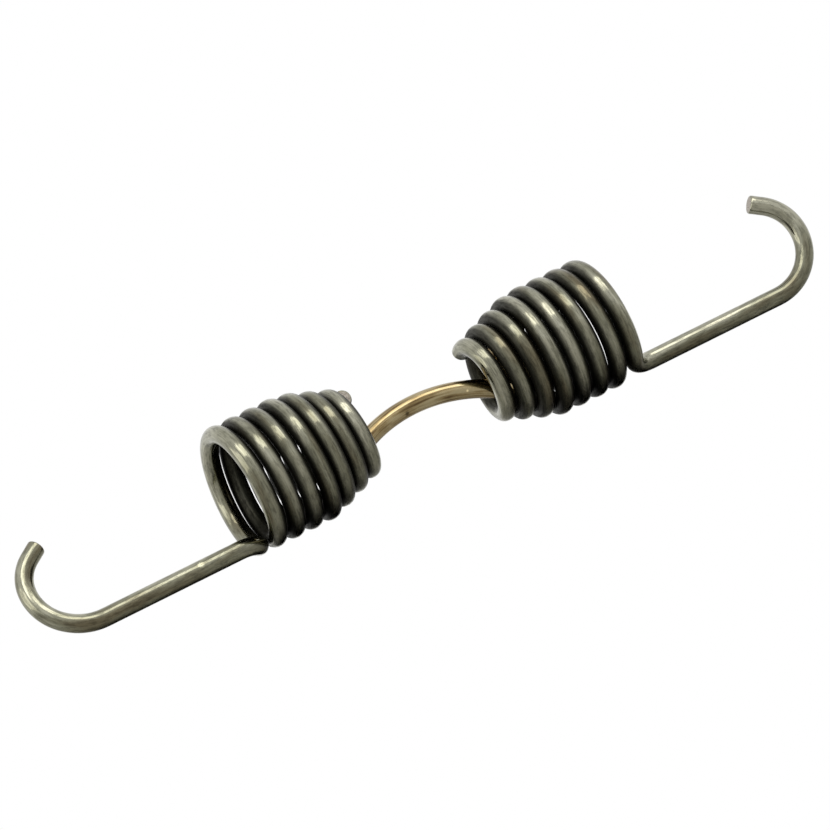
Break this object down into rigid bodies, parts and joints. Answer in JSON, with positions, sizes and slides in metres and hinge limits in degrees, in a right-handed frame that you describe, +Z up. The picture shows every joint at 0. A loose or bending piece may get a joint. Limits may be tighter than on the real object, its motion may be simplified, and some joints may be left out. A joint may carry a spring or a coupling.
{
  "type": "brake shoe spring",
  "caption": "Drum brake return spring: equal steel coils with coned inner ends joined by a golden bowed link, a straight run and open hook at each outer end.",
  "frame": {"origin": "centre of the bounding box at the surface the part lies on", "axes": "+X along the coils from the left hook to the right hook, +Z up, the way the hooks open; +Y across, away from the viewer"},
  "size_m": [0.2614, 0.0474, 0.039],
  "materials": {
    "spring_steel": "dark oiled spring wire",
    "link_steel": "golden plated wire"
  },
  "bodies": {
    "left_spring": {"left_spring": "spring_steel"},
    "centre_link": {"centre_link": "link_steel"},
    "right_spring": {"right_spring": "spring_steel"}
  },
  "joints": [
    {"name": "left_swivel", "type": "hinge", "parent": "centre_link", "child": "left_spring", "pos_m": [-0.03013, -0.00423, 0.0195], "axis": [1, 0, 0], "continuous": true},
    {"name": "right_swivel", "type": "hinge", "parent": "centre_link", "child": "right_spring", "pos_m": [0.03013, 0.00423, 0.0195], "axis": [1, 0, 0], "continuous": true}
  ]
}
